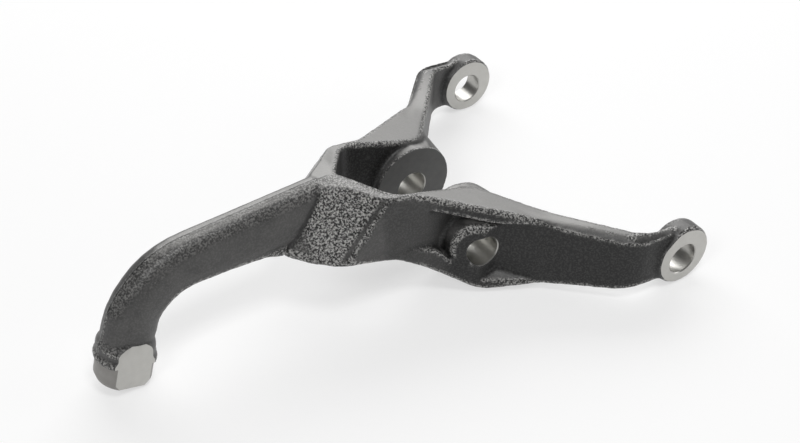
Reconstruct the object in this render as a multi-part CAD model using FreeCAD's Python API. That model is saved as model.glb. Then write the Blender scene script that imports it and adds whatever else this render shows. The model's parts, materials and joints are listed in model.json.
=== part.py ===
import FreeCAD, Part
import os
from math import asin, atan2, ceil, copysign, cos, degrees, pi, radians, sin, tan

# Clutch release fork: one forging with a bent lever, two diverging arms, a pivot bore
# through both arms and an eye at the end of each.
# It is laid out with both bore axes level: origin in the middle of the pivot axis, +X towards
# the eyes, +Y across the fork, +Z up.  The finished fork is then tipped about the pivot axis
# until it lies as it rests, on its two eyes and on the end of the lever.

# bores and the faces machined round them; y distances are from the middle of the fork
BORE_D = 18.0            # both bore axes take an 18 mm pin
REACH = 93.6             # pivot axis to eye axis
EYE_D = 35.2             # forged eye
EYE_INNER_Y = 93.7
EYE_OUTER_Y = 105.9
EYE_CHAMFER = 1.2        # leaves a faced ring 32.8 mm across
EYE_SHIFT = (0.6, 1.7)   # the eye sits a little beyond and above its bore
PIVOT_FACE_D = 48.0      # faced disc inside the fork
PIVOT_ROOT_D = 56.0      # where that boss meets the arm
PIVOT_INNER_Y = 18.9
PIVOT_SHIFT = (0.5, 1.3)
OUTER_FACE_Y = 50.0      # faced end of the boss outside the fork
OUTER_BOSS_D = 31.0
OUTER_ROOT_D = 36.0

# lever: a straight run, a bend and a short run down to the end
LEVER_ROOT_X = -70.0
LEVER_ROOT_Z = 26.9
LEVER_SLOPE = radians(6.0)       # it falls away from the fork
BEND_R = 36.0
TIP_LEAN = radians(9.0)          # the end has turned this far past the vertical
TIP_X = -189.3                   # middle of the end face
TIP_Z = -46.2
STUB_D = 30.0                    # turned end, up to the collar
STUB_LENGTH = 13.5
STUB_END_D = 27.0                # after its chamfer
STUB_CHAMFER = 3.0
COLLAR_D = 32.6                  # forged edge where the turning stops
COLLAR_BAND = 2.0
COLLAR_RISE = 6.5                # height over which the lever swells into the collar
FLATS_WIDTH = 23.2               # across the two milled flats
FLATS_LENGTH = 28.0

# section of the lever: (distance from the end, half width, half depth, squareness, taper)
LEVER_SIZES = [(10.0, 13.3, 13.8, 2.0, 0.0), (20.0, 13.2, 13.6, 2.0, 0.0),
               (28.0, 11.5, 13.4, 2.1, 0.0), (44.0, 11.2, 12.8, 2.4, 0.02),
               (56.0, 11.0, 12.3, 2.8, 0.08), (68.0, 10.6, 12.0, 3.2, 0.14),
               (82.0, 10.2, 12.1, 3.6, 0.2), (96.0, 10.0, 12.7, 4.0, 0.22),
               (120.0, 9.8, 13.6, 4.0, 0.24), (158.0, 9.8, 15.0, 4.0, 0.24)]
BEND_STEP = 6.0                  # most between sections in the bend
STRAIGHT_STEP = 10.0             # and in the straight runs
SECTION_POINTS = 24

# head and arms from above at UPPER_Z, one arm, from the lever round the outside and back
# along the inside: (x, y, corner radius, how far the wall that follows leans out per mm down)
UPPER_Z = 40.0
ARM_END_X = REACH + EYE_SHIFT[0]
ARM_OUTER_Y = EYE_OUTER_Y - 3.6
ARM_INNER_Y = EYE_INNER_Y + 3.9
OUTLINE = [(-78.0, 7.0, 0.0, 0.54), (-52.0, 29.2, 12.0, 0.1), (-33.0, 30.5, 20.0, 0.03),
           (27.0, 66.0, 25.0, 0.02), (REACH - 33.0, ARM_OUTER_Y, 24.0, 0.03),
           (ARM_END_X, ARM_OUTER_Y, 0.0, 0.0), (ARM_END_X, ARM_INNER_Y, 0.0, 0.025),
           (REACH - 24.8, ARM_INNER_Y, 20.0, 0.035), (7.5, 25.8, 16.0, 0.095),
           (-46.5, 25.8, 14.0, 0.075), (-66.0, 0.0, 2.5, 0.075)]
LEVER_END_LEAN = 0.7     # the end under the lever, between the two halves of that outline
BLOCK_BOTTOM_Z = -30.0   # the outline's walls run from here
BLOCK_TOP_Z = 46.0       # to here, past the side outline
# head and arms from the side: (x, z, corner radius)
SIDE_TOP = [(-112.0, 35.0, 0.0), (-66.0, 41.8, 20.0), (34.0, 20.2, 60.0), (ARM_END_X, 19.2, 0.0)]
SIDE_BOTTOM = [(ARM_END_X, -14.2, 0.0), (REACH - 13.6, -11.2, 20.0), (REACH - 27.6, -11.4, 25.0),
               (0.0, -25.4, 18.0), (-46.0, -1.0, 30.0), (-76.0, 3.0, 30.0), (-112.0, 11.0, 0.0)]
TOP_EDGE_R = 2.0         # rounding of the upper rims
BOTTOM_EDGE = 1.4        # bevel of the lower rims
ROUNDED_FROM_X = -75.0   # the rims run into the lever before this

# pocket in the outside of each arm, round the pivot boss
POCKET_PLAN = [(-50.0, 33.0, 0.0), (-10.0, 33.0, 0.0), (9.9, OUTER_FACE_Y, 0.0),
               (36.0, 77.5, 0.0), (36.0, 110.0, 0.0), (-50.0, 110.0, 0.0)]
POCKET_SIDE = [(-50.0, 30.6, 0.0), (5.3, 18.3, 30.0), (40.0, 20.0, 0.0), (40.0, -15.8, 0.0),
               (-6.0, -18.0, 0.0), (-21.5, 0.8, 10.0), (-50.0, 4.0, 0.0)]
# web that carries the boss down to the lower flange, from the side
WEB_SIDE = [(-14.0, 0.0, 0.0), (-6.5, -19.0, 0.0), (12.0, -19.0, 0.0), (12.0, 0.0, 0.0)]
# ledge that rises from the lower flange to the wall beside that web: its three corners in view
# and one inside the metal
LEDGE = [(-3.0, 47.5, -17.9), (31.0, 70.5, -16.8), (12.0, 51.5, -13.6), (12.0, 45.0, -22.0)]

V = FreeCAD.Vector
ORIGIN = V(0, 0, 0)
Y_AXIS = V(0, 1, 0)
BEYOND = 130.0           # past the widest part of the fork


def rounded_wire(corners, place):
    """Closed wire through corners (a, b, radius), each corner turned into a tangent arc."""
    starts = []
    middles = []
    ends = []
    for i, (a, b, radius) in enumerate(corners):
        corner = V(a, b, 0)
        before = corners[i - 1]
        after = corners[(i + 1) % len(corners)]
        back = (V(before[0], before[1], 0) - corner).normalize()
        ahead = (V(after[0], after[1], 0) - corner).normalize()
        half = back.getAngle(ahead) / 2
        inward = (back + ahead).normalize()
        starts.append(corner + back * (radius / tan(half)))
        middles.append(corner + inward * (radius / sin(half) - radius))
        ends.append(corner + ahead * (radius / tan(half)))
    edges = []
    for i, corner in enumerate(corners):
        begin, middle, end = (place(p.x, p.y) for p in (starts[i], middles[i], ends[i]))
        following = starts[(i + 1) % len(corners)]
        if corner[2] > 0:
            edges.append(Part.Arc(begin, middle, end).toShape())
        edges.append(Part.makeLine(end, place(following.x, following.y)))
    return Part.Wire(edges)


def side_prism(corners, y0, y1, inset=0.0):
    """A solid with the given outline in x and z, from y0 to y1; inset makes it smaller all round."""
    face = Part.Face(rounded_wire(corners, lambda a, b: V(a, y0, b)))
    if inset:
        face = face.makeOffset2D(-inset)
    return face.extrude(V(0, y1 - y0, 0))


def plan_prism(corners, z0, z1):
    """A solid with the given outline in x and y, from z0 to z1."""
    wire = rounded_wire(corners, lambda a, b: V(a, b, z0))
    return Part.Face(wire).extrude(V(0, 0, z1 - z0))


def bar_y(diameter, x, z, y0, y1):
    """A round bar along y."""
    return Part.makeCylinder(diameter / 2, y1 - y0, V(x, y0, z), Y_AXIS)


def cone_y(d0, d1, x, z, y0, y1):
    """A round taper along y, d0 across at y0 and d1 across at y1."""
    return Part.makeCone(d0 / 2, d1 / 2, y1 - y0, V(x, y0, z), Y_AXIS)


def both_sides(shape):
    """The shape and its mirror image on the other arm."""
    return [shape, shape.mirror(ORIGIN, Y_AXIS)]


def walls_at(rows, z):
    """Corners of a closed outline at height z, each wall moved out by its lean."""
    drop = UPPER_Z - z
    lines = []
    for i, row in enumerate(rows):
        start = V(row[0], row[1], 0)
        following = rows[(i + 1) % len(rows)]
        along = (V(following[0], following[1], 0) - start).normalize()
        out = V(-along.y, along.x, 0)
        lines.append((start + out * (row[3] * drop), along))
    corners = []
    for i, (point, along) in enumerate(lines):
        other, before = lines[i - 1]
        gap = point - other
        run = (gap.x * along.y - gap.y * along.x) / (before.x * along.y - before.y * along.x)
        corner = other + before * run
        corners.append(V(corner.x, corner.y, z))
    return corners


def drafted_block(half):
    """A flat-walled block, the same on both sides of y = 0, with rounded upright corners."""
    rows = list(half)
    for i in reversed(range(len(half))):
        x, y, radius, _ = half[i]
        if y != 0:
            rows.append((x, -y, radius, half[i - 1][3] if i else LEVER_END_LEAN))
    low = walls_at(rows, BLOCK_BOTTOM_Z)
    high = walls_at(rows, BLOCK_TOP_Z)
    faces = [Part.Face(Part.makePolygon(ring + ring[:1])) for ring in (low, high)]
    for i in range(len(rows)):
        j = (i + 1) % len(rows)
        faces.append(Part.Face(Part.makePolygon([low[i], low[j], high[j], high[i], low[i]])))
    block = Part.Solid(Part.Shell(faces))
    for radius in sorted({row[2] for row in rows if row[2] > 0}):
        middles = [(low[i] + high[i]) * 0.5 for i, row in enumerate(rows) if row[2] == radius]
        edges = [edge for edge in block.Edges if any(
            (edge.CenterOfMass - middle).Length < 0.01 for middle in middles)]
        block = block.makeFillet(radius, edges)
    return block


def head():
    """The crotch and the two arms, before the bosses."""
    return drafted_block(OUTLINE).common(side_prism(SIDE_TOP + SIDE_BOTTOM, -BEYOND, BEYOND))


def rim_edges(shape, side):
    """Edges where the top (side 1) or the bottom (side -1) of the head meets its walls."""
    found = []
    for edge in shape.Edges:
        middle = edge.valueAt((edge.FirstParameter + edge.LastParameter) / 2)
        faces = shape.ancestorsOfType(edge, Part.Face)
        if len(faces) != 2:
            continue
        slopes = []
        for face in faces:
            u, v = face.Surface.parameter(middle)
            slopes.append(side * face.normalAt(u, v).z)
        if max(slopes) > 0.7 and min(abs(s) for s in slopes) < 0.55 and middle.x > ROUNDED_FROM_X:
            found.append(edge)
    return found


def rounded_head():
    """The head with its upper rims rounded and its lower rims bevelled."""
    blank = head().Solids[0]
    rounded = blank.makeFillet(TOP_EDGE_R, rim_edges(blank, 1)).Solids[0]
    return rounded.makeChamfer(BOTTOM_EDGE, rim_edges(rounded, -1))


def lever_frame():
    """Root, direction away from the root, corner, direction down to the end, and end."""
    root = V(LEVER_ROOT_X, 0, LEVER_ROOT_Z)
    away = V(-cos(LEVER_SLOPE), 0, -sin(LEVER_SLOPE))
    tip = V(TIP_X, 0, TIP_Z)
    down = V(-sin(TIP_LEAN), 0, -cos(TIP_LEAN))
    gap = tip - root
    run = (gap.x * down.z - gap.z * down.x) / (away.x * down.z - away.z * down.x)
    return away, root + away * run, down, tip


def bend_limits():
    """Where the bend starts and ends along the middle line, from the lever's end."""
    away, corner, down, tip = lever_frame()
    turn = away.getAngle(down)
    start = (tip - corner).Length - BEND_R * tan(turn / 2)
    return start, start + BEND_R * turn


def station(s):
    """Point and direction of the lever's middle line, s millimetres from the end."""
    away, corner, down, tip = lever_frame()
    start, end = bend_limits()
    trim = (tip - corner).Length - start
    if s <= start:
        return tip - down * s, down
    if s >= end:
        return corner - away * (trim + s - end), away
    angle = (s - start) / BEND_R
    heading = turned(down, angle)
    centre = corner + down * trim + V(-down.z, 0, down.x) * BEND_R
    return centre - V(-heading.z, 0, heading.x) * BEND_R, heading


def turned(direction, angle):
    """The direction, turned about y."""
    return V(direction.x * cos(angle) + direction.z * sin(angle), 0,
             direction.z * cos(angle) - direction.x * sin(angle))


def lever_section(s):
    """Section across the lever: a circle when squareness is 2, nearer a box above that.

    Taper narrows it towards the top.
    """
    for near, far in zip(LEVER_SIZES, LEVER_SIZES[1:]):
        if s <= far[0]:
            break
    share = (s - near[0]) / (far[0] - near[0])
    half_width, half_depth, squareness, taper = (
        n + (f - n) * share for n, f in zip(near[1:], far[1:]))
    point, heading = station(s)
    across = V(heading.z, 0, -heading.x)
    points = []
    for i in range(SECTION_POINTS):
        angle = 2 * pi * (i + 0.5) / SECTION_POINTS
        y = copysign(abs(cos(angle)) ** (2 / squareness), cos(angle))
        d = copysign(abs(sin(angle)) ** (2 / squareness), sin(angle))
        points.append(point + Y_AXIS * (y * half_width * (1 - taper * d)) + across * (d * half_depth))
    curve = Part.BSplineCurve()
    curve.interpolate(points, PeriodicFlag=True)
    return Part.Wire([curve.toShape()])


def lever():
    """The bent bar, its collar and the turned end."""
    bend_start, bend_end = bend_limits()
    runs = ((LEVER_SIZES[0][0], bend_start, STRAIGHT_STEP), (bend_start, bend_end, BEND_STEP),
            (bend_end, LEVER_SIZES[-1][0], STRAIGHT_STEP))
    stations = [LEVER_SIZES[0][0]]
    for begin, finish, most in runs:
        steps = ceil((finish - begin) / most)
        stations += [begin + (finish - begin) * (i + 1) / steps for i in range(steps)]
    bar = Part.makeLoft([lever_section(s) for s in stations], True, True)
    _, _, down, tip = lever_frame()
    stub = Part.makeCylinder(STUB_D / 2, STUB_LENGTH - STUB_CHAMFER, tip - down * STUB_LENGTH, down)
    end = Part.makeCone(STUB_D / 2, STUB_END_D / 2, STUB_CHAMFER, tip - down * STUB_CHAMFER, down)
    band = Part.makeCylinder(COLLAR_D / 2, COLLAR_BAND,
                             tip - down * (STUB_LENGTH + COLLAR_BAND), down)
    swell = Part.makeCone(LEVER_SIZES[0][1], COLLAR_D / 2, COLLAR_RISE - COLLAR_BAND,
                          tip - down * (STUB_LENGTH + COLLAR_RISE), down)
    return bar.fuse([band, swell, stub, end])


def flat_cutters():
    """What the milling cutter takes off both sides of the lever's end."""
    _, _, down, tip = lever_frame()
    size = 2 * COLLAR_D
    past_end = 10.0
    cutter = Part.makeBox(size, size, FLATS_LENGTH + past_end, V(-size / 2, 0, -past_end))
    cutter.Placement = FreeCAD.Placement(tip + Y_AXIS * (FLATS_WIDTH / 2),
                                         FreeCAD.Rotation(Y_AXIS, degrees(TIP_LEAN)))
    return both_sides(cutter)


def inner_boss():
    """The boss inside the fork, from the faced disc back to the arm."""
    boss = cone_y(PIVOT_FACE_D, PIVOT_ROOT_D, *PIVOT_SHIFT, PIVOT_INNER_Y, OUTER_FACE_Y)
    inside = drafted_block(OUTLINE[:6])
    return boss.common([inside.common(side_prism(SIDE_TOP + SIDE_BOTTOM, 0, BEYOND, TOP_EDGE_R))])


def pocket():
    """What is missing round the outer pivot boss, between the top and bottom flanges."""
    hollow = plan_prism(POCKET_PLAN, -BEYOND, BEYOND).common(side_prism(POCKET_SIDE, 0, BEYOND))
    boss = cone_y(OUTER_ROOT_D, OUTER_BOSS_D, *PIVOT_SHIFT, PIVOT_INNER_Y, OUTER_FACE_Y)
    web = side_prism(WEB_SIDE, 0, OUTER_FACE_Y)
    return hollow.cut([boss, web, ledge()])


def ledge():
    """A sloping three-cornered ledge, a solid with four flat faces."""
    corners = [V(*corner) for corner in LEDGE]
    faces = []
    for skipped in range(4):
        a, b, c = (corners[i] for i in range(4) if i != skipped)
        faces.append(Part.Face(Part.makePolygon([a, b, c, a])))
    return Part.Solid(Part.Shell(faces))


def eye():
    x = REACH + EYE_SHIFT[0]
    bar = bar_y(EYE_D, x, EYE_SHIFT[1], EYE_INNER_Y, EYE_OUTER_Y)
    return bar.makeChamfer(EYE_CHAMFER, [e for e in bar.Edges if len(e.Vertexes) == 1])


def rest_pitch():
    """Turn about the pivot axis that brings the eyes and the lever's end to one level."""
    _, _, down, tip = lever_frame()
    heel = tip + V(-down.z, 0, down.x) * (STUB_END_D / 2)
    along = V(REACH + EYE_SHIFT[0] - heel.x, 0, EYE_SHIFT[1] - heel.z)
    return atan2(along.z, along.x) - asin(EYE_D / 2 / along.Length)


def clutch_fork():
    fork = rounded_head().fuse([lever()] + both_sides(inner_boss()))
    fork = fork.cut(both_sides(pocket()))
    fork = fork.fuse(both_sides(eye()))
    bores = [bar_y(BORE_D, x, 0, -BEYOND, BEYOND) for x in (0, REACH)]
    fork = fork.cut(flat_cutters() + bores)
    fork.rotate(ORIGIN, Y_AXIS, degrees(rest_pitch()))
    return fork


os.makedirs("parts", exist_ok=True)
shape = clutch_fork()
print("clutch_fork: valid", shape.isValid(), "solids", len(shape.Solids),
      "cm3", round(shape.Volume / 1000, 1), "pitch", round(degrees(rest_pitch()), 3))
shape.Solids[0].exportStep("parts/clutch_fork.step")
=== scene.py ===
import json
import math

import bmesh
import bpy
import numpy as np
from mathutils import Matrix, Vector, noise


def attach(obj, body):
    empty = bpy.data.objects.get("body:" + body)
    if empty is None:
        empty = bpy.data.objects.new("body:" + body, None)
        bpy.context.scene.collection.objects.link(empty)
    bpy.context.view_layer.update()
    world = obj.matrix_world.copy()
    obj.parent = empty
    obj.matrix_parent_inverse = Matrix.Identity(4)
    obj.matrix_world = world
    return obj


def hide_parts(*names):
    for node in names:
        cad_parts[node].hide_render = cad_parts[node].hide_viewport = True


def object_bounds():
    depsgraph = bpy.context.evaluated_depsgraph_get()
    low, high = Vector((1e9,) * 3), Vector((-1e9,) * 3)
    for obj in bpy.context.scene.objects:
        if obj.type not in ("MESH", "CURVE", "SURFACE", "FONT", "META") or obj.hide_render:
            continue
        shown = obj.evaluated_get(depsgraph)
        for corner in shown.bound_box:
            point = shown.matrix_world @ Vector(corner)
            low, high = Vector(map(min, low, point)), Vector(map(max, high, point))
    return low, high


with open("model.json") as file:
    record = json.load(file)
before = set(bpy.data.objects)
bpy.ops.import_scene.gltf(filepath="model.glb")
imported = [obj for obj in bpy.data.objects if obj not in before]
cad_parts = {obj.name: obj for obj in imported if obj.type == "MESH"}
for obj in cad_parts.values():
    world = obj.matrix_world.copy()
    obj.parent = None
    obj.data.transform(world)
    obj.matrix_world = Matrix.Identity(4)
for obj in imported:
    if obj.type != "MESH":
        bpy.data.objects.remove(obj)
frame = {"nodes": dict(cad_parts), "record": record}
cad_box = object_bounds()

# The raw casting: one piece of cast iron with a bent lever, a crotch and two arms, from a sand
# mould.  It leaves the mould with its bores solid and spare metal on every face that will be
# machined, so the CAD solid gets those fillings before its skin is remade with rounded edges.
FORK = "clutch_fork"
MM = 0.001
SPARE = 0.9 * MM                # left on for machining
SKIN_STEP = 1.0 * MM            # size of the skin's facets
ROUNDING_PASSES = 4             # how far the mould rounds the edges
LAST_PASSES = 2                 # and how far the corrected shape is smoothed
PIN_HOLE_R = 9.0 * MM           # both bore axes
PLUG_R = PIN_HOLE_R + 1.5 * MM  # what fills the pivot bore reaches into the metal round it
EYE_INNER = 93.7 * MM           # faces of an eye, from the middle of the fork
EYE_OUTER = 105.9 * MM
EYE_R = 16.2 * MM
EYE_SHIFT = (0.8 * MM, 1.6 * MM)         # the eye is a little off its bore
BOSS_INNER = 18.9 * MM          # faced ends of a pivot boss
BOSS_OUTER = 50.0 * MM
BOSS_DISC_R = 23.8 * MM
BOSS_DISC_DEPTH = 3.0 * MM
BOSS_SHIFT = (0.65 * MM, 1.2 * MM)
STUB_R = 15.0 * MM              # turned end of the lever
STUB_LENGTH = 13.5 * MM
COLLAR_R = 16.0 * MM            # raw edge where the turning stops
COLLAR_STEP = 0.1 * MM
COLLAR_BAND = 2.0 * MM
FLATS_HALF_WIDTH = 11.6 * MM    # two flats milled on the end
FLATS_LENGTH = 26.8 * MM
# the metal above the collar, as heights and radii in mm
ABOVE_COLLAR = ((17.5, 14.9), (22, 14.7), (24.5, 13.9), (26, 12.5), (27, 10.5))

mounts = {mount["name"]: mount for mount in frame["record"]["mounts"]}
eye_x, _, eye_z = mounts["eye_bore_left"]["pos_m"]
tip_place = Vector(mounts["lever_end"]["pos_m"])
tip_rise = -Vector(mounts["lever_end"]["axis"])


def ring_stack(bm, rings, place, hollow=False):
    """Adds a turned shape: rings of (distance along the axis, radius), capped or closed on itself."""
    sides = 96
    loops = []
    for along, radius in rings:
        turns = [2 * math.pi * i / sides for i in range(sides)]
        loops.append([bm.verts.new(place @ Vector((radius * math.cos(t), radius * math.sin(t), along)))
                      for t in turns])
    pairs = list(zip(loops, loops[1:]))
    if hollow:
        pairs.append((loops[-1], loops[0]))
    for low, high in pairs:
        for i in range(sides):
            bm.faces.new((low[i], low[i - 1], high[i - 1], high[i]))
    if not hollow:
        bm.faces.new(loops[0])
        bm.faces.new(list(reversed(loops[-1])))


def across(x, z):
    """A place whose own Z runs along the fork's Y, centred on x and z."""
    return Matrix.Translation((x, 0, z)) @ Matrix.Rotation(-math.pi / 2, 4, "X")


def new_object(name, bm):
    """An object that holds the mesh, its faces turned outwards."""
    bmesh.ops.recalc_face_normals(bm, faces=bm.faces)
    mesh = bpy.data.meshes.new(name)
    bm.to_mesh(mesh)
    bm.free()
    made = bpy.data.objects.new(name, mesh)
    bpy.context.scene.collection.objects.link(made)
    return made


def round_edges(made, passes):
    """Rounds the object's edges, more with each pass."""
    rounding = made.modifiers.new("rounding", "SMOOTH")
    rounding.factor = 0.5
    rounding.iterations = passes


def settle(made):
    """Puts the object's modifiers into its mesh."""
    graph = bpy.context.evaluated_depsgraph_get()
    mesh = bpy.data.meshes.new_from_object(made.evaluated_get(graph))
    made.modifiers.clear()
    old = made.data
    made.data = mesh
    bpy.data.meshes.remove(old)


at_eye = across(eye_x, eye_z)
at_eye_rim = across(eye_x + EYE_SHIFT[0], eye_z + EYE_SHIFT[1])
at_pivot = across(0, 0)
at_boss = across(*BOSS_SHIFT)
tip_side = Vector((0, 1, 0))
tip_turn = Matrix((tip_side.cross(tip_rise), tip_side, tip_rise)).transposed()
at_tip = Matrix.Translation(tip_place) @ tip_turn.to_4x4()

bm = bmesh.new()
bm.from_mesh(frame["nodes"][FORK].data)
bmesh.ops.remove_doubles(bm, verts=bm.verts, dist=1e-6)
for side in (1, -1):
    for low, high, radius, place in (
            (EYE_INNER - SPARE, EYE_OUTER + SPARE, EYE_R, at_eye_rim),
            (BOSS_INNER - SPARE, BOSS_INNER + BOSS_DISC_DEPTH, BOSS_DISC_R, at_boss),
            (BOSS_INNER, BOSS_OUTER - SPARE, PLUG_R, at_pivot)):
        ring_stack(bm, sorted([(side * low, radius), (side * high, radius)]), place)
stub_rings = [(-SPARE, STUB_R + SPARE), (STUB_LENGTH, STUB_R + SPARE),
              (STUB_LENGTH + COLLAR_STEP, COLLAR_R), (STUB_LENGTH + COLLAR_BAND, COLLAR_R)]
stub_rings += [(height * MM, radius * MM) for height, radius in ABOVE_COLLAR]
ring_stack(bm, stub_rings, at_tip)
casting = new_object("casting", bm)
skin = casting.modifiers.new("skin", "REMESH")
skin.mode = "VOXEL"
skin.voxel_size = SKIN_STEP
round_edges(casting, ROUNDING_PASSES)
settle(casting)


def read(field):
    """The casting's positions or normals, one row for each point."""
    rows = np.empty(len(casting.data.vertices) * 3, np.float32)
    casting.data.vertices.foreach_get(field, rows)
    return rows.reshape(-1, 3).astype(float)


def move(rows):
    """Puts the casting's points at these places."""
    casting.data.vertices.foreach_set("co", rows.astype(np.float32).ravel())
    casting.data.update()


def ramp(values, low, high):
    """0 below low, 1 above high, and smooth between."""
    part = np.clip((values - low) / (high - low), 0, 1)
    return part * part * (3 - 2 * part)


def fade(values, low, high):
    """1 below low, 0 above high, and smooth between."""
    return ramp(-values, -high, -low)


def table(values, rows):
    """Looks up the values in a table's first column and gives its second; its rows are in mm."""
    places, sizes = np.array(rows).T * MM
    return np.interp(values, places, sizes)


# the lever swells under its root, inside its bend and, a little, outside the bend
UNDER_SWELL = ((-190, 0), (-176, 2.0), (-155, 1.9), (-130, 1.3),         # place along the fork, swell
               (-110, 2.2), (-99, 5.2), (-88, 4.4), (-76, 0))
OUTER_SWELL = ((-9, 0), (0, 1.4), (18, 1.4), (32, 0))                   # height, swell
UNDERSIDE = np.array((0.35, 0, -0.94))   # the way that the lever's underside faces
points = read("co")
facing = read("normal")
x, y, z = points.T              # these follow each change to the points
up_tip = (points - np.array(tip_place)) @ np.array(tip_rise)
under = table(x, UNDER_SWELL) * ramp(facing @ UNDERSIDE, 0.2, 0.9) * ramp(up_tip, 20 * MM, 32 * MM)
outer = table(z, OUTER_SWELL) * ramp(-facing[:, 0], 0.3, 0.9) * fade(x, -170 * MM, -150 * MM)
points += facing * (under + outer)[:, None]

# the top falls away by a few degrees on both sides of the parting line, but not near the tip
DRAFT = 0.09                    # fall for each mm to the side
DRAFT_WIDTH = 16 * MM
beside = np.abs(y)
upper = ramp(facing[:, 2] - facing[:, 0], 0.1, 0.5) * fade(x, -50 * MM, -30 * MM)
upper *= ramp(up_tip, 24 * MM, 40 * MM)
points -= facing * (DRAFT * np.minimum(beside, DRAFT_WIDTH) * upper)[:, None]

# the arms' upper outer rims are worn rounder towards the eyes: the outer wall of an arm slants
# outwards from beside the pivot, and then runs straight on
RIM_WEAR = 2.6 * MM
RIM_WEAR_WIDTH = 7 * MM
SLANT_START = (27 * MM, 66 * MM)         # ahead and to the side
SLANT_INWARDS = (0.733, -0.679)
ARM_OUTER = 102.3 * MM
from_slant = (x - SLANT_START[0]) * SLANT_INWARDS[0] + (beside - SLANT_START[1]) * SLANT_INWARDS[1]
from_wall = np.minimum(from_slant, ARM_OUTER - beside)
worn = fade(from_wall, 0, RIM_WEAR_WIDTH) * ramp(facing[:, 2], 0.3, 0.8)
worn *= ramp(x, 15 * MM, 50 * MM) * fade(x, 80 * MM, 90 * MM)
z -= RIM_WEAR * worn

# the outer bosses taper on the side that stands free
BOSS_TAPER = 0.24
BOSS_FREE_SIDE = (-0.82, 0.57)           # ahead and up
from_axis = np.hypot(x, z)
free_side = ramp((x * BOSS_FREE_SIDE[0] + z * BOSS_FREE_SIDE[1]) / from_axis, 0.2, 0.6)
taper = BOSS_TAPER * ramp(beside, 40 * MM, BOSS_OUTER) * free_side * fade(from_axis, 16 * MM, 17.5 * MM)
x *= 1 - taper
z *= 1 - taper
move(points)
round_edges(casting, LAST_PASSES)
settle(casting)

# how far each point stands above its neighbours, which finds the rims and the hollows
points = read("co")
facing = read("normal")
x, y, z = points.T
beside = np.abs(y)
edges = np.empty(len(casting.data.edges) * 2, np.int32)
casting.data.edges.foreach_get("vertices", edges)
edges = edges.reshape(-1, 2)
near_count = np.bincount(edges.ravel(), minlength=len(points))


def near_mean(values):
    """The mean of each point's neighbours."""
    total = np.zeros_like(values)
    np.add.at(total, edges[:, 0], values[edges[:, 1]])
    np.add.at(total, edges[:, 1], values[edges[:, 0]])
    return total / (near_count[:, None] if values.ndim > 1 else near_count)


def soften(values, passes):
    """Spreads the values over their neighbours, further with each pass."""
    for _ in range(passes):
        values = 0.5 * values + 0.5 * near_mean(values)
    return values


hump = soften(-np.einsum("ij,ij->i", near_mean(points) - points, facing), 3)
rim = ramp(soften(ramp(hump, 0.025 * MM, 0.055 * MM), 2), 0.1, 0.6)
hollow = fade(hump, -0.03 * MM, -0.008 * MM)

# where the sand was rough: the two faces where the lever flares into the crotch, the parting seam
# along the lever's top, the right half of the top, and the rims, apart from the plain corner
# between each flared face and its arm
FLARE = Vector((-0.60, -0.66, 0.44)).normalized()        # the way that the right one faces
flare = np.zeros(len(points))
for side in (1, -1):
    flare_side = np.array((FLARE.x, side * FLARE.y, FLARE.z))
    flare = np.maximum(flare, ramp(facing @ flare_side, 0.93, 0.98))
flare *= ramp(x, -92 * MM, -84 * MM) * fade(x, -46 * MM, -40 * MM)
seam = fade(beside, 0, 1.2 * MM) * fade(x, -72 * MM, -66 * MM)
seam *= ramp(facing[:, 2] - facing[:, 0], 0.2, 0.5)
right_top = fade(x, -35 * MM, -20 * MM) * fade(y, -1 * MM, 0) * ramp(facing[:, 2], 0.3, 0.6)
right_top *= 0.3 + 0.25 * ramp(x, -100 * MM, -80 * MM)
plain_corner = ramp(x, -60 * MM, -54 * MM) * fade(x, -36 * MM, -30 * MM) * ramp(beside, 22 * MM, 25 * MM)
plain_corner *= fade(np.abs(facing[:, 2]), 0.4, 0.6) * (1 - flare) ** 2
rim *= 1 - plain_corner
rough = np.maximum(np.maximum(0.85 * rim, flare), np.maximum(right_top, seam))

# painted top light: the level faces on top are painted lighter where the light falls on them, less so
# towards the eyes
painted_top_light = ramp(soften(facing[:, 2], 1), 0.88, 0.98) * (1 - rim) * (1 - 1.1 * right_top)
painted_top_light *= 1 - 0.75 * ramp(x, 40 * MM, 75 * MM)

# painted shade: the arms' outer walls and the walls of the crotch are darkened where shade falls on them,
# and the hollows partly as dirt and partly as painted shade
arm_wall = np.maximum(ramp(x, -30 * MM, -14 * MM) * ramp(beside, 31.5 * MM, 34 * MM),
                      0.5 * ramp(x, -54 * MM, -48 * MM) * ramp(beside, 22 * MM, 26 * MM))
arm_wall *= ramp(facing[:, 1] * np.sign(y), -0.3, 0.1)
crotch_wall = ramp(x, -66 * MM, -60 * MM) * fade(beside, 26 * MM, 30 * MM)
painted_shade_and_dirt = np.maximum(arm_wall, crotch_wall) * fade(facing[:, 2], 0.2, 0.6) * (1 - 0.7 * rim)
painted_shade_and_dirt = soften(np.maximum(painted_shade_and_dirt, 0.8 * hollow), 2)


def wander(size, seed):
    """Smooth noise at each point, about -1 to 1, in lumps of the given size."""
    shift = Vector((seed, 2.3 * seed, -1.7 * seed))
    return np.array([noise.noise(Vector(p) / size + shift) for p in points])


# the skin itself: low waves, lumps that are higher where the sand was rough, and the parting seam
WAVE_SIZE = 9 * MM
WAVE_HEIGHT = 0.10 * MM
LUMP_SIZE = 2.8 * MM
LUMP_HEIGHT = 0.06 * MM
ROUGH_HEIGHT = 0.14 * MM
SEAM_HEIGHT = 0.45 * MM
waves = WAVE_HEIGHT * wander(WAVE_SIZE, 1.0)
lumps = (LUMP_HEIGHT + ROUGH_HEIGHT * rough) * wander(LUMP_SIZE, 5.0)
points += facing * (waves + lumps + SEAM_HEIGHT * seam)[:, None]
z[:] = np.minimum(z, cad_box[1].z)
move(points)
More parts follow.
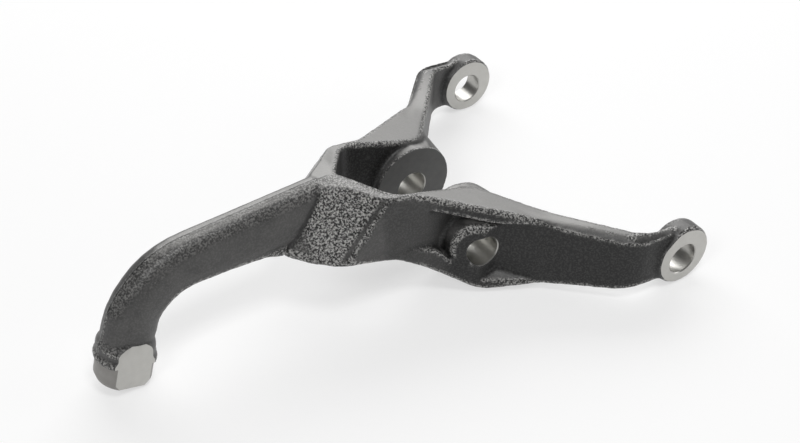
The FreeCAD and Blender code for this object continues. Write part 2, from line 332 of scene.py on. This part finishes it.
# the masks go to the shader, among them the painted top light and the painted shade and dirt
for name, values in (("rough_sand", rough), ("painted_top_light", painted_top_light),
                     ("painted_shade_and_dirt", painted_shade_and_dirt), ("parting", seam > 0)):
    layer = casting.data.attributes.new(name, "FLOAT", "POINT")
    layer.data.foreach_set("value", np.asarray(values, np.float32))


def linear(hex_colour):
    """A Blender colour from an sRGB hex value."""
    parts = [int(hex_colour[i:i + 2], 16) / 255 for i in (1, 3, 5)]
    return tuple(c / 12.92 if c <= 0.04045 else ((c + 0.055) / 1.055) ** 2.4 for c in parts) + (1.0,)


def add_node(tree, kind, settings, links=None):
    """Adds a node.  Settings go to its properties or its inputs, links join its inputs to sockets."""
    made = tree.nodes.new(kind)
    for key, value in settings.items():
        if isinstance(key, str) and hasattr(made, key):
            setattr(made, key, value)
        else:
            made.inputs[key].default_value = value
    for key, socket in (links or {}).items():
        tree.links.new(socket, made.inputs[key])
    return made


def new_material(name):
    """A material, its node tree and its shader."""
    material = bpy.data.materials.new(name)
    material.use_nodes = True
    return material, material.node_tree, material.node_tree.nodes["Principled BSDF"]


# cast iron, sand-cast with a shot-blast finish: dark with a dull sheen, painted lighter on the level tops as
# painted top light, darker on the walls as painted shade and in the hollows as dirt and painted shade, and
# pebbled with bright high spots where the sand was rough, partly worn metal and partly painted glints
SAND_GRAIN = 1.0 * MM           # coarser than real sand, to show
PATCH_SIZE = 11 * MM            # lighter and darker patches of the skin
SEAM_DARK = 0.2 * MM            # the line along the seam is dark up to here, on either side
SEAM_CLEAR = 0.7 * MM           # and gone here
cast_iron, tree, shader = new_material("shot_blasted_cast_iron")
place = add_node(tree, "ShaderNodeTexCoord", {}).outputs["Object"]
sand = add_node(tree, "ShaderNodeAttribute", {"attribute_name": "rough_sand"}).outputs["Fac"]
# painted top light, read from its mask
top_light = add_node(tree, "ShaderNodeAttribute", {"attribute_name": "painted_top_light"}).outputs["Fac"]
# painted shade and dirt, read from its mask
shade = add_node(tree, "ShaderNodeAttribute", {"attribute_name": "painted_shade_and_dirt"}).outputs["Fac"]
parting = add_node(tree, "ShaderNodeAttribute", {"attribute_name": "parting"}).outputs["Fac"]
grain = add_node(tree, "ShaderNodeTexNoise", {"Scale": 1 / SAND_GRAIN, "Detail": 2.0, "Roughness": 0.5},
                 {"Vector": place}).outputs["Fac"]
patches = add_node(tree, "ShaderNodeTexNoise", {"Scale": 1 / PATCH_SIZE, "Detail": 4.0, "Roughness": 0.65},
                   {"Vector": place}).outputs["Fac"]

# the dark skin, darkened by painted shade on the arms' walls and the crotch walls and by dirt and painted
# shade in the hollows, and darker in the pits of rough sand
dark = add_node(tree, "ShaderNodeMix", {"data_type": "RGBA", "A": linear("#373737"), "B": linear("#5a5958")},
                {"Factor": patches}).outputs["Result"]
darker = add_node(tree, "ShaderNodeMix", {"data_type": "RGBA", "B": linear("#101010")},
                  {"Factor": shade, "A": dark}).outputs["Result"]
low = add_node(tree, "ShaderNodeMapRange", {"From Min": 0.5, "From Max": 0.34},
               {"Value": grain}).outputs["Result"]
pits = add_node(tree, "ShaderNodeMath", {"operation": "MULTIPLY"}, {0: low, 1: sand}).outputs["Value"]
pitted = add_node(tree, "ShaderNodeMix", {"data_type": "RGBA", "B": linear("#181818")},
                  {"Factor": pits, "A": darker}).outputs["Result"]

# painted top light on the level tops, with bright spots on the grains that stand highest, partly worn metal
# and partly painted glints
plain = add_node(tree, "ShaderNodeMix", {"data_type": "RGBA", "B": linear("#8f8e8c")},
                 {"Factor": top_light, "A": pitted}).outputs["Result"]
high = add_node(tree, "ShaderNodeMapRange", {"From Min": 0.45, "From Max": 0.63},
                {"Value": grain}).outputs["Result"]
sanded = add_node(tree, "ShaderNodeMapRange", {"To Min": 0.05, "To Max": 0.85},
                  {"Value": sand}).outputs["Result"]
spots = add_node(tree, "ShaderNodeMath", {"operation": "MULTIPLY"}, {0: high, 1: sanded}).outputs["Value"]
speckled = add_node(tree, "ShaderNodeMix", {"data_type": "RGBA", "B": linear("#c4c3c0")},
                    {"Factor": spots, "A": plain}).outputs["Result"]

# a dark line along the middle of the parting seam
sideways = add_node(tree, "ShaderNodeSeparateXYZ", {}, {"Vector": place}).outputs["Y"]
off_seam = add_node(tree, "ShaderNodeMath", {"operation": "ABSOLUTE"}, {0: sideways}).outputs["Value"]
line = add_node(tree, "ShaderNodeMapRange",
                {"From Min": SEAM_DARK, "From Max": SEAM_CLEAR, "To Min": 0.75, "To Max": 0},
                {"Value": off_seam}).outputs["Result"]
seam_line = add_node(tree, "ShaderNodeMath", {"operation": "MULTIPLY"},
                     {0: line, 1: parting}).outputs["Value"]
colour = add_node(tree, "ShaderNodeMix", {"data_type": "RGBA", "B": linear("#262626")},
                  {"Factor": seam_line, "A": speckled}).outputs["Result"]

# rough sand leaves a deeper grain, and its tops are burnished
depth = add_node(tree, "ShaderNodeMapRange", {"To Min": 0.10 * MM, "To Max": 0.55 * MM},
                 {"Value": sand}).outputs["Result"]
bump = add_node(tree, "ShaderNodeBump", {"Strength": 1.0}, {"Height": grain, "Distance": depth})
gloss = add_node(tree, "ShaderNodeMapRange", {"To Min": 0.45, "To Max": 0.28},
                 {"Value": sand}).outputs["Result"]
tree.links.new(colour, shader.inputs["Base Color"])
tree.links.new(bump.outputs["Normal"], shader.inputs["Normal"])
tree.links.new(gloss, shader.inputs["Roughness"])
shader.inputs["Metallic"].default_value = 0.1
casting.data.materials.clear()
casting.data.materials.append(cast_iron)


# Machining: the eyes and the pivot bosses are faced and bored, the end of the lever is turned and
# two flats are milled on it.  Each cutter leaves its own finish on the faces that it makes.
OUT = 6 * MM                    # how far a cutter starts outside the metal
CUTTER_R = 24 * MM              # clears an eye and the end of the lever
BOSS_CUTTER_R = 27 * MM
BORE_CHAMFER = 0.5 * MM
STUB_CHAMFER = 3.0 * MM
STUB_END_R = 13.5 * MM
MOTTLE_SIZE = 4 * MM
CRISP_ANGLE = math.radians(38)  # sharper edges than this stay crisp


def cut_finish(name, colour, other_colour, metallic, roughness, mark, depth):
    """Cut iron: a faint mottle of two greys, and tool marks of the given size and depth."""
    material, tree, shader = new_material(name)
    place = add_node(tree, "ShaderNodeTexCoord", {}).outputs["Object"]
    marks = add_node(tree, "ShaderNodeTexNoise", {"Scale": 1 / mark, "Detail": 2.0}, {"Vector": place})
    mottle = add_node(tree, "ShaderNodeTexNoise", {"Scale": 1 / MOTTLE_SIZE, "Detail": 3.0},
                      {"Vector": place})
    tone = add_node(tree, "ShaderNodeMix",
                    {"data_type": "RGBA", "A": linear(colour), "B": linear(other_colour)},
                    {"Factor": mottle.outputs["Fac"]})
    bump = add_node(tree, "ShaderNodeBump", {"Strength": 0.5, "Distance": depth},
                    {"Height": marks.outputs["Fac"]})
    tree.links.new(tone.outputs["Result"], shader.inputs["Base Color"])
    tree.links.new(bump.outputs["Normal"], shader.inputs["Normal"])
    shader.inputs["Metallic"].default_value = metallic
    shader.inputs["Roughness"].default_value = roughness
    casting.data.materials.append(material)
    return material


# milled is pale and satin, turned duller, the faced discs inside the crotch are painted dark as painted
# shade, and bored is smooth and bright; the tool marks are coarser than real ones, to show
milled_iron = cut_finish("milled_cast_iron", "#bdbcb8", "#cac9c5", 0.7, 0.5, 0.7 * MM, 0.04 * MM)
turned_iron = cut_finish("turned_cast_iron", "#83817e", "#9a9895", 0.6, 0.48, 0.9 * MM, 0.06 * MM)
# painted shade: the faced discs inside the crotch get a darker grey
faced_iron = cut_finish("faced_cast_iron_painted_shade", "#515150", "#60605f", 0.4, 0.5, 0.8 * MM, 0.05 * MM)
bored_iron = cut_finish("bored_cast_iron", "#a7a6a2", "#bab9b5", 0.9, 0.33, 0.8 * MM, 0.02 * MM)


def cut(finish, bm):
    """Cuts the shape from the casting; the new faces take the finish."""
    tool = new_object("tool", bm)
    tool.data.materials.append(finish)
    cutting = casting.modifiers.new("cut", "BOOLEAN")
    cutting.operation = "DIFFERENCE"
    cutting.solver = "MANIFOLD"
    cutting.object = tool
    cutting.material_mode = "TRANSFER"
    settle(casting)
    bpy.data.objects.remove(tool)


def face_off(finish, radius, start, end, place):
    """Cuts everything within the radius between two distances along the axis."""
    bm = bmesh.new()
    ring_stack(bm, sorted([(start, radius), (end, radius)]), place)
    cut(finish, bm)


def bore(start, end, place):
    """Bores between two distances along the axis, with a small chamfer at each mouth."""
    low, high = sorted((start, end))
    wide = PIN_HOLE_R + BORE_CHAMFER
    bm = bmesh.new()
    ring_stack(bm, [(low - OUT, wide), (low, wide), (low + BORE_CHAMFER, PIN_HOLE_R),
                    (high - BORE_CHAMFER, PIN_HOLE_R), (high, wide), (high + OUT, wide)], place)
    cut(bored_iron, bm)


for side in (1, -1):
    face_off(milled_iron, CUTTER_R, side * EYE_INNER, side * (EYE_INNER - OUT), at_eye)
    face_off(milled_iron, CUTTER_R, side * EYE_OUTER, side * (EYE_OUTER + OUT), at_eye)
    face_off(faced_iron, BOSS_CUTTER_R, side * BOSS_INNER, side * (BOSS_INNER - OUT), at_pivot)
    bore(side * EYE_INNER, side * EYE_OUTER, at_eye)
    bore(side * BOSS_INNER, side * BOSS_OUTER, at_pivot)
face_off(turned_iron, CUTTER_R, -OUT, 0, at_tip)
bm = bmesh.new()
ring_stack(bm, [(-OUT, CUTTER_R), (STUB_LENGTH, CUTTER_R), (STUB_LENGTH, STUB_R), (STUB_CHAMFER, STUB_R),
                (0, STUB_END_R), (-OUT, STUB_END_R)], at_tip, hollow=True)
cut(turned_iron, bm)
for side in (1, -1):
    bm = bmesh.new()
    box = [(ahead, off, up) for ahead in (-CUTTER_R, CUTTER_R)
           for off in sorted((side * FLATS_HALF_WIDTH, side * CUTTER_R)) for up in (-OUT, FLATS_LENGTH)]
    bmesh.ops.convex_hull(bm, input=[bm.verts.new(at_tip @ Vector(corner)) for corner in box])
    cut(milled_iron, bm)
casting.data.polygons.foreach_set("use_smooth", [True] * len(casting.data.polygons))
casting.data.set_sharp_from_angle(angle=CRISP_ANGLE)
casting.name = "fork_casting"
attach(casting, "root")
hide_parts(FORK)

# Floor: a plain white paper sheet under the fork, which the eye sees a little lighter than it lights
# the fork, so that only a faint shadow shows
FLOOR_SIZE = 6
WHITE_SHARE = 0.6
bpy.ops.mesh.primitive_plane_add(size=FLOOR_SIZE, location=(0, 0, cad_box[0].z))
floor = bpy.context.object
floor.name = "floor"
paper, tree, shader = new_material("pale_paper")
shader.inputs["Base Color"].default_value = linear("#fbfbfb")
shader.inputs["Roughness"].default_value = 0.9
rays = add_node(tree, "ShaderNodeLightPath", {}).outputs
seen = rays["Is Camera Ray"]
for kind in ("Is Glossy Ray", "Is Transmission Ray"):
    seen = add_node(tree, "ShaderNodeMath", {"operation": "MAXIMUM"},
                    {0: seen, 1: rays[kind]}).outputs["Value"]
share = add_node(tree, "ShaderNodeMath", {"operation": "MULTIPLY", 1: WHITE_SHARE},
                 {0: seen}).outputs["Value"]
white = add_node(tree, "ShaderNodeEmission", {"Strength": 1.0}).outputs["Emission"]
sheet = add_node(tree, "ShaderNodeMixShader", {}, {0: share, 1: shader.outputs["BSDF"], 2: white})
tree.links.new(sheet.outputs["Shader"], tree.nodes["Material Output"].inputs["Surface"])
floor.data.materials.append(paper)

# Camera: three-quarter view from above, beside the lever
AZIMUTH = math.radians(-33.37)
ELEVATION = math.radians(39.37)
ROLL = math.radians(-0.96)
CAMERA_PLACE = (-0.37666, -0.54011, 0.52784)
camera = bpy.data.objects.new("camera", bpy.data.cameras.new("camera"))
bpy.context.scene.collection.objects.link(camera)
camera.data.sensor_width = 36
camera.data.lens = 68.03
camera.data.clip_start, camera.data.clip_end = 0.01, 50
backwards = Vector((math.sin(AZIMUTH) * math.cos(ELEVATION), -math.cos(AZIMUTH) * math.cos(ELEVATION),
                    math.sin(ELEVATION)))
camera.matrix_world = (Matrix.Translation(CAMERA_PLACE)
                       @ backwards.to_track_quat("Z", "Y").to_matrix().to_4x4()
                       @ Matrix.Rotation(ROLL, 4, "Z"))
bpy.context.scene.camera = camera

# Light: a wide soft lamp behind the fork, three small ones overhead, in front and on the right,
# and a dim grey room
world = bpy.data.worlds.new("room")
world.use_nodes = True
world.node_tree.nodes["Background"].inputs["Color"].default_value = linear("#9a9a9a")
world.node_tree.nodes["Background"].inputs["Strength"].default_value = 0.3
bpy.context.scene.world = world


def add_lamp(name, azimuth, elevation, distance, size, power):
    """A soft lamp aimed at the fork, from a direction in degrees."""
    lamp = bpy.data.objects.new(name, bpy.data.lights.new(name, "AREA"))
    lamp.data.shape = "RECTANGLE"
    lamp.data.size, lamp.data.size_y = size
    lamp.data.energy = power
    turn, rise = math.radians(azimuth), math.radians(elevation)
    lamp.location = distance * Vector((math.sin(turn) * math.cos(rise), -math.cos(turn) * math.cos(rise),
                                       math.sin(rise)))
    lamp.rotation_euler = lamp.location.to_track_quat("Z", "Y").to_euler()
    bpy.context.scene.collection.objects.link(lamp)


add_lamp("behind", 150, 36, 1.5, (1.9, 1.0), 23)
add_lamp("overhead", -10, 68, 1.2, (0.3, 0.3), 4.5)
add_lamp("front", -62, 46, 1.2, (0.3, 0.3), 2.6)
add_lamp("right", 62, 14, 1.4, (0.6, 0.6), 2.5)
bpy.context.scene.view_settings.view_transform = "Standard"
